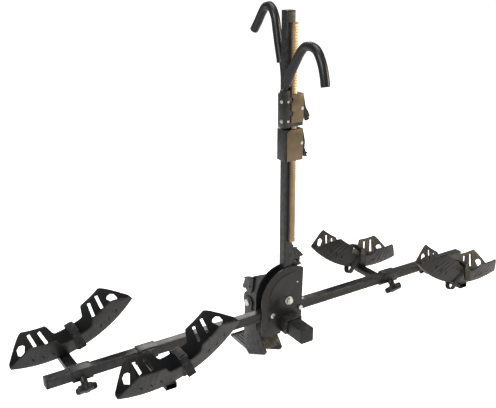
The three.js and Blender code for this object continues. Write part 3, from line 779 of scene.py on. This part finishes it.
class RACK_OT_trays(bpy.types.Operator):
    """Build the four moulded wheel trays with slotted, fluted walls and rolled lips"""

    bl_idname = "rack.trays"
    bl_label = "Wheel Trays"

    def execute(self, context):
        sizes = context.scene.rack_trays
        cutter = bpy.data.objects.new("tray_cutter", tray_cutters(sizes))
        context.scene.collection.objects.link(cutter)
        shell = shaped(
            tray_sheet(sizes),
            ("SOLIDIFY", {"thickness": sizes.wall, "offset": 1.0, "use_even_offset": False}),
            ("BOOLEAN", {"operation": "DIFFERENCE", "solver": "EXACT", "object": cutter}),
        )
        bpy.data.objects.remove(cutter)
        for name in SETS:
            moved = placed(shell, tray_matrix(name, sizes))
            whole = joined(f"tray_{name}_moulding", [moved, tray_pad(name, sizes)])
            new_piece(
                f"wheel_trough_{name}", whole, "tray_moulding", f"wheel_tray_{name}",
                [f"tray_{name}"], 32,
            )
        return {"FINISHED"}


# ---- straps ----

SNUG, SLACK = 0.002, 0.027
LOOP_STEPS = 800


def strap_outline(sizes, sag):
    """The strap's closed loop round the tray's waist: (across, height) points."""
    floor, waist = sizes.floor, sizes.waist
    top = floor + (sizes.half - floor) * waist / sizes.wing
    under = [(0, -0.0012 - sag), (floor * 0.8, -0.0011 - sag * 0.92), (floor + 0.0025, -0.0004 - sag * 0.72)]
    wall = [(top * 0.62 + 0.002, waist * 0.42), (top + 0.0017, waist - 0.002), (top, waist + 0.008)]
    over = [(top - 0.010, waist + 0.014), (0, waist + 0.0155)]
    right = under + wall + over
    left = [(-x, z) for x, z in reversed(right[1:-1])]
    return [Vector((0, x, z)) for x, z in right + left]


def closed_curve(points, count):
    """Even points round the closed curve through points."""
    n = len(points)
    ring = points[-2:] + points + points[:3]
    span = len(ring) - 1
    raw = [spline(ring, (2 + n * i / LOOP_STEPS) / span) for i in range(LOOP_STEPS)]
    lengths = [0.0]
    for a, b in zip(raw, raw[1:] + raw[:1]):
        lengths.append(lengths[-1] + (b - a).length)
    even, j = [], 0
    for i in range(count):
        target = lengths[-1] * i / count
        while lengths[j + 1] < target:
            j += 1
        share = (target - lengths[j]) / max(lengths[j + 1] - lengths[j], 1e-9)
        even.append(raw[j].lerp(raw[(j + 1) % LOOP_STEPS], share))
    return even, lengths[-1]


def strap_mesh(name, trays, straps, sag):
    """A toothed band round the waist, drawn about the wheel's centre."""
    outline = strap_outline(trays, sag)
    total = closed_curve(outline, 10)[1]
    teeth = round(total / straps.pitch)
    loop = closed_curve(outline, teeth * 4)[0]
    rings = []
    for i, p in enumerate(loop):
        a, b = loop[i - 1], loop[(i + 1) % len(loop)]
        along = (b - a).normalized()
        out = Vector((0, along.z, -along.y))
        rise = (0.0, 0.35, 0.7, 1.0)[i % 4] * straps.tooth
        section = [(-1.0, 0.0004), (-0.96, 0.0), (0.96, 0.0), (1.0, 0.0004)]
        section += [(1.0, straps.thick - 0.0004), (0.96, straps.thick), (0.74, straps.thick)]
        section += [(0.70, straps.thick + rise), (-0.70, straps.thick + rise)]
        section += [(-0.74, straps.thick), (-0.96, straps.thick), (-1.0, straps.thick - 0.0004)]
        ring = [p + Vector((x * straps.half, 0, 0)) + out * d for x, d in section]
        rings.append([q - Vector((0, 0, trays.arc)) for q in ring])
    return loft(name, rings, closed=True)


class RACK_OT_straps(bpy.types.Operator):
    """Build the four toothed ratchet straps"""

    bl_idname = "rack.straps"
    bl_label = "Wheel Straps"

    def execute(self, context):
        trays, straps = context.scene.rack_trays, context.scene.rack_straps
        for name in SETS:
            sag = SNUG if "left" in name else SLACK
            mesh = placed(strap_mesh(f"strap_{name}_band", trays, straps, sag), tray_matrix(name, trays))
            new_piece(
                f"ratchet_band_{name}", mesh, "strap_rubber", f"wheel_tray_{name}",
                [f"strap_{name}"],
            )
        return {"FINISHED"}


# ---- hooks ----

FRONT_HOOK = (
    (-27.5, 648), (-27.5, 700), (-27.5, 750), (-27.5, 762), (-44, 797), (-72, 840), (-105, 884), (-128, 899),
    (-151, 901), (-177, 893), (-200, 864), (-213, 832), (-221, 797),
)
REAR_HOOK = (
    (28, 538), (28, 640), (28, 775), (28.6, 790), (35, 826), (48, 872), (60, 920), (71, 962), (87, 986),
    (105, 994), (124, 989), (144, 969), (167, 939), (190, 912),
)


CUFF = (0.72, 0.97, 1.05, 1.05, 1.0)


def hook_points(route, across):
    """A hook's route, given about the crossbar's centre, in the row's frame."""
    bar = middle("crossbar")
    return [Vector((across * MM, bar.y + y * MM, bar.z + z * MM)) for y, z in route]


def hook_sleeve(path, sizes):
    """A sleeve cut flat at its tip, with a small rounding there and a moulded cuff where it starts."""
    r, tip, along = sizes.sleeve, path[-1], (path[-1] - path[-2]).normalized()
    round_off, steps = 1.5 * MM, 4
    path = path[:-1]
    radii = [r] * len(path)
    for i, share in enumerate(CUFF):
        radii[i] = r * share
    for k in range(steps + 1):
        a = k / steps * math.pi / 2
        path = path + [tip - along * round_off * (1 - math.sin(a) * 0.98)]
        radii.append(r - round_off * (1 - math.cos(a)))
    return loft("sleeve", tube_rings(path, radii, sizes.sides, Vector((1, 0, 0))))


class RACK_OT_hooks(bpy.types.Operator):
    """Build the two frame hooks: steel rods in rubber sleeves"""

    bl_idname = "rack.hooks"
    bl_label = "Frame Hooks"

    def execute(self, context):
        sizes = context.scene.rack_hooks
        plans = (("upper", FRONT_HOOK, -27, 18 / 64), ("lower", REAR_HOOK, 0, 20 / 64))
        for level, route, across, start in plans:
            points = hook_points(route, across)
            body = f"{level}_hook_carriage"
            bare = [spline(points, start * i / 30) for i in range(31)]
            bare.append(spline(points, start + 0.012))
            rod = loft("rod", tube_rings(bare, [sizes.rod] * len(bare), sizes.sides, Vector((1, 0, 0))))
            new_piece(f"{level}_hook_rod", rod, "powder_coat", body, [f"{level}_hook"])
            covered = [spline(points, start)]
            covered += [spline(points, start + 0.002 * k) for k in (0.5, 1, 6, 7)]
            covered += [spline(points, start + 0.016 + (1 - start - 0.016) * i / 70) for i in range(71)]
            sleeve = hook_sleeve(covered, sizes)
            new_piece(
                f"{level}_hook_cover", sleeve, "sleeve_rubber", body, [f"{level}_hook_sleeve"]
            )
        return {"FINISHED"}


# ---- clamp knobs ----

LOBES, LOBE_DEPTH, LOBE_POWER = 5, 0.36, 1.3
KNOB = {"radius": 0.034, "top": -0.041, "thick": 0.020, "hub": -0.034, "stud": -0.0217}
KNOB_LEAN = math.radians(45)
# (share of the radius, share of the thickness) up the head's side.
KNOB_LEVELS = (
    (0.80, 0.0), (0.92, 0.06), (0.985, 0.2), (1.0, 0.35), (1.0, 0.7), (0.97, 0.86), (0.88, 0.97), (0.76, 1.0)
)


def star(radius, count=80):
    """The knob's lobed outline."""
    points = []
    for i in range(count):
        t = 2 * math.pi * i / count
        r = radius * (1 - LOBE_DEPTH + LOBE_DEPTH * ((1 + math.cos(LOBES * t)) / 2) ** LOBE_POWER)
        points.append((r * math.cos(t), r * math.sin(t)))
    return points


def knob_mesh():
    """A lobed knob with a stepped hub and its stud, hanging down from the origin along Z."""
    top, thick, hub_top, stud_top = KNOB["top"], KNOB["thick"], KNOB["hub"], KNOB["stud"]
    rings = []
    for share, z in KNOB_LEVELS:
        height = top - thick + thick * z
        rings.append([Vector((x * share, y * share, height)) for x, y in star(KNOB["radius"])])
    head = loft("head", rings)
    hub = [(0.0125, top - 0.002), (0.0118, top + 0.003), (0.0108, hub_top - 0.001), (0.0098, hub_top)]
    dimple = [(0.0035, top - thick - 0.0004), (0.0125, top - thick - 0.0006), (0.0135, top - thick + 0.002)]
    stud = [(0.005, top - 0.003), (0.005, stud_top - 0.0008), (0.0042, stud_top)]
    parts = [turned_profile("part", profile) for profile in (hub, dimple, stud)]
    return joined("clamp_knob", [head, *parts])


class RACK_OT_knobs(bpy.types.Operator):
    """Build the four lobed clamp knobs at the bar's lower edges"""

    bl_idname = "rack.knobs"
    bl_label = "Clamp Knobs"

    def execute(self, context):
        for name in SETS:
            bar = middle("crossbar")
            lean = math.copysign(KNOB_LEAN, middle(f"knob_{name}").y - bar.y)
            mesh = knob_mesh()
            mesh.transform(Matrix.Rotation(lean, 4, "X"))
            mesh.transform(Matrix.Translation((middle(f"collar_{name}").x, bar.y, bar.z)))
            new_piece(
                f"clamp_knob_{name}", mesh, "moulded_plastic", f"knob_turn_{name}",
                [f"knob_{name}"], 40,
            )
        return {"FINISHED"}


# ---- fasteners and welds ----


RIPPLE_STEP, RIPPLE_DEPTH = 0.0011, 0.14
BEAD_RADIUS, BEAD_INSET = 0.0021, 0.0008
BAR_BOLT_X = 0.072
RIVET_X, RIVET_RISE = 0.036, 0.081
PLATE_DEPTH, PLATE_WALL = 0.0162, 0.004
TRAY_BOLT_SPREAD = 0.010


def fix(name, mesh, point, axis, body):
    """Sets a zinc fastener on a face."""
    made = placed(mesh, Matrix.Translation(Vector(point)) @ turned(axis))
    new_piece(name, made, "zinc_plate", body)


def bead(points, radius):
    """A rippled weld bead round a closed route of points."""
    route = []
    for a, b in zip(points, points[1:] + points[:1]):
        steps = max(2, int((b - a).length / RIPPLE_STEP))
        route += [a.lerp(b, i / steps) for i in range(steps)]
    rings = []
    count, sides = len(route), 8
    for i, p in enumerate(route):
        along = (route[(i + 1) % count] - route[i - 1]).normalized()
        side = along.orthogonal() if abs(along.x) > 0.9 else Vector((1, 0, 0)).cross(along)
        side.normalize()
        up = along.cross(side)
        r = radius * (1 - RIPPLE_DEPTH + RIPPLE_DEPTH * math.cos(i * 2.1))
        turns = (2 * math.pi * k / sides for k in range(sides))
        rings.append([p + (side * math.cos(t) + up * math.sin(t)) * r for t in turns])
    return loft("bead", rings, closed=True)


class RACK_OT_fasteners(bpy.types.Operator):
    """Add the hook clamp bolts, tray bolts, bar bolt, rivet and weld beads"""

    bl_idname = "rack.fasteners"
    bl_label = "Fasteners and Welds"

    def execute(self, context):
        self.carriage_bolts()
        self.base_bolts()
        for name in SETS:
            self.tray_bolts(name, context.scene.rack_trays)
            self.arm_weld(name)
        return {"FINISHED"}

    def carriage_bolts(self):
        """Two clamp bolts on the hook socket's side and two screws on its front."""
        low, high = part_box("upper_carriage")
        bolt, screw = hex_bolt(4.6 * MM, 4.2 * MM), button_bolt(4.2 * MM, 2.6 * MM)
        for i, z in enumerate((low.z + 0.020, high.z - 0.034)):
            y = low.y + 0.013
            fix(f"hook_clamp_bolt_{i + 1}", bolt, (low.x, y, z), (-1, 0, 0), "upper_hook_carriage")
            front = (low.x + 0.0155, low.y, z)
            fix(f"hook_clamp_screw_{i + 1}", screw, front, (0, -1, 0), "upper_hook_carriage")

    def base_bolts(self):
        """The bolt on the bar's top and the rivet on the front plate."""
        bar_top, bar_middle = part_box("crossbar")[1].z, middle("crossbar").y
        small = button_bolt(7.0 * MM, 3.6 * MM)
        fix("bar_bolt", small, (BAR_BOLT_X, bar_middle, bar_top), (0, 0, 1), "base")
        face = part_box("rear_plate")[0].y - PLATE_DEPTH - (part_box("rear_plate")[0].y - bar_middle)
        rivet = button_bolt(3.4 * MM, 1.6 * MM)
        fix("plate_rivet", rivet, (RIVET_X, face - PLATE_WALL, bar_top + RIVET_RISE), (0, -1, 0), "base")

    def tray_bolts(self, name, sizes):
        """Two button bolts in the trough's floor, over the arm."""
        matrix = tray_matrix(name, sizes)
        bolt = button_bolt(4.4 * MM, 2.8 * MM)
        inward = 1 if middle(f"collar_{name}").x < 0 else -1
        for i, along in enumerate((-TRAY_BOLT_SPREAD, TRAY_BOLT_SPREAD)):
            offset = math.asin((sizes.offset + along) / sizes.arc) - sizes.tilt
            spot = Matrix.Rotation(-inward * offset, 4, "Y") @ Vector((0, 0, sizes.wall - sizes.arc))
            made = placed(bolt, matrix @ Matrix.Translation(spot) @ Matrix.Rotation(-inward * offset, 4, "Y"))
            new_piece(f"tray_bolt_{i + 1}_{name}", made, "black_bolt", f"wheel_tray_{name}")

    def arm_weld(self, name):
        """A bead round the arm where it meets its collar's lug."""
        low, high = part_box(f"arm_{name}")
        bar = middle("crossbar").y
        y = low.y if abs(low.y - bar) < abs(high.y - bar) else high.y
        corners = [(low.x, low.z), (high.x, low.z), (high.x, high.z), (low.x, high.z)]
        centre = ((low.x + high.x) / 2, (low.z + high.z) / 2)
        loop = []
        for x, z in corners:
            sx, sz = math.copysign(BEAD_INSET, centre[0] - x), math.copysign(BEAD_INSET, centre[1] - z)
            loop.append(Vector((x + sx, y, z + sz)))
        made = bead(loop, BEAD_RADIUS)
        new_piece(f"arm_weld_{name}", made, "weld_bead", f"wheel_tray_{name}")


# ---- stage ----

FLOOR_REACH, FLOOR_DROP = 40.0, 0.002
FLOOR_GLOW, ROOM_LIGHT = (0.05, 0.9), (0.3, 1.0)


def area_light(name, place, target, size, power, tint):
    """A soft box that shines at a point."""
    data = bpy.data.lights.new(name, "AREA")
    data.shape = "DISK"
    data.size = size
    data.energy = power
    data.color = tint
    lamp = bpy.data.objects.new(name, data)
    bpy.context.scene.collection.objects.link(lamp)
    lamp.location = place
    lamp.rotation_euler = (Vector(target) - Vector(place)).to_track_quat("-Z", "Y").to_euler()


def camera_strength(tree, unseen, seen, socket):
    """Drives a strength that is one value where the camera looks and another for every other ray."""
    strength = tree.nodes.new("ShaderNodeMapRange")
    strength.inputs["To Min"].default_value = unseen
    strength.inputs["To Max"].default_value = seen
    tree.links.new(tree.nodes.new("ShaderNodeLightPath").outputs["Is Camera Ray"], strength.inputs["Value"])
    tree.links.new(strength.outputs["Result"], socket)


class RACK_OT_stage(bpy.types.Operator):
    """Build the pale floor, the soft lights and the camera"""

    bl_idname = "rack.stage"
    bl_label = "Stage"

    def execute(self, context):
        stage = context.scene.rack_stage
        self.floor(stage)
        self.lights()
        self.camera(stage)
        return {"FINISHED"}

    def floor(self, stage):
        """A wide floor just under the rack, with a faint cloudy tone."""
        size, level = FLOOR_REACH, CAD_BOX[0].z - FLOOR_DROP
        signs = ((-1, -1), (1, -1), (1, 1), (-1, 1))
        corners = [Vector((x * size, y * size, level)) for x, y in signs]
        mesh = mesh_from("floor", corners, [(0, 1, 2, 3)])
        material = bpy.data.materials.new("studio_floor")
        material.use_nodes = True
        tree = material.node_tree
        shader = tree.nodes["Principled BSDF"]
        where = tree.nodes.new("ShaderNodeTexCoord").outputs["Object"]
        tint = tuple(stage.floor)
        tone = blend_colour(tree, noise(tree, where, 1.5), tint, lighter(tint, 0.985))
        tree.links.new(tone, shader.inputs["Base Color"])
        shader.inputs["Roughness"].default_value = 0.9
        shader.inputs["Specular IOR Level"].default_value = 0.1
        shader.inputs["Emission Color"].default_value = (1.0, 1.0, 1.0, 1.0)
        camera_strength(tree, *FLOOR_GLOW, shader.inputs["Emission Strength"])
        mesh.materials.append(material)
        floor = bpy.data.objects.new("studio_floor", mesh)
        bpy.context.scene.collection.objects.link(floor)

    def lights(self):
        """A pale room, a cool key from the left, a warm light from the right and a rim from behind."""
        world = bpy.data.worlds.new("studio")
        world.use_nodes = True
        background = world.node_tree.nodes["Background"]
        background.inputs["Color"].default_value = (1.0, 1.0, 1.0, 1.0)
        camera_strength(world.node_tree, *ROOM_LIGHT, background.inputs["Strength"])
        bpy.context.scene.world = world
        bpy.context.scene.view_settings.view_transform = "Standard"
        heart = (0.0, 0.1, 0.35)
        area_light("key", (-3.2, -1.6, 2.6), heart, 2.2, 85, (0.90, 0.95, 1.0))
        area_light("warm", (2.9, -2.2, 1.5), (0.0, 0.05, 0.55), 1.4, 75, (1.0, 0.80, 0.56))
        area_light("rim", (1.2, 3.4, 2.6), heart, 2.0, 60, (1.0, 0.98, 0.95))
        area_light("top", (0.0, 0.0, 4.6), heart, 3.6, 110, (1.0, 1.0, 1.0))

    def camera(self, stage):
        """The camera at its azimuth, elevation and roll."""
        a, e, r = stage.azimuth, stage.elevation, stage.roll
        back = Vector((math.sin(a) * math.cos(e), -math.cos(a) * math.cos(e), math.sin(e)))
        right = Vector((math.cos(a), math.sin(a), 0))
        up = back.cross(right)
        right, up = right * math.cos(r) + up * math.sin(r), up * math.cos(r) - right * math.sin(r)
        data = bpy.data.cameras.new("camera")
        data.sensor_width = 36
        data.lens = stage.lens
        data.clip_end = 200
        camera = bpy.data.objects.new("camera", data)
        bpy.context.scene.collection.objects.link(camera)
        turn = Matrix((right, up, back)).transposed()
        camera.matrix_world = Matrix.Translation(stage.place) @ turn.to_4x4()
        bpy.context.scene.camera = camera


class RACK_PT_panel(bpy.types.Panel):
    """Lists the rack's pieces and its stage"""

    bl_idname = "RACK_PT_panel"
    bl_label = "Bike Rack"
    bl_space_type = "VIEW_3D"
    bl_region_type = "UI"
    bl_category = "Bike Rack"

    def draw(self, context):
        for step in STEPS:
            self.layout.operator(step.bl_idname)
        for name in GROUPS:
            box = self.layout.box()
            group = getattr(context.scene, name)
            for key in type(group).__annotations__:
                box.prop(group, key)


GROUPS = {
    "rack_trays": RackTraySizes,
    "rack_hooks": RackHookSizes,
    "rack_straps": RackStrapSizes,
    "rack_colours": RackColours,
    "rack_stage": RackStageSizes,
}
STEPS = (
    RACK_OT_stage, RACK_OT_dress_frame, RACK_OT_trays, RACK_OT_straps, RACK_OT_hooks, RACK_OT_knobs,
    RACK_OT_fasteners,
)


def register():
    """Registers every class and hangs the property groups on the scene."""
    for cls in (*GROUPS.values(), *STEPS, RACK_PT_panel):
        bpy.utils.register_class(cls)
    for name, cls in GROUPS.items():
        setattr(bpy.types.Scene, name, PointerProperty(type=cls))


def unregister():
    """Takes back what register() did."""
    for name in GROUPS:
        delattr(bpy.types.Scene, name)
    for cls in reversed((*GROUPS.values(), *STEPS, RACK_PT_panel)):
        bpy.utils.unregister_class(cls)


def main():
    """Builds everything in order."""
    register()
    bpy.ops.rack.stage()
    bpy.ops.rack.dress_frame()
    bpy.ops.rack.trays()
    bpy.ops.rack.straps()
    bpy.ops.rack.hooks()
    bpy.ops.rack.knobs()
    bpy.ops.rack.fasteners()


if __name__ == "__main__":
    main()
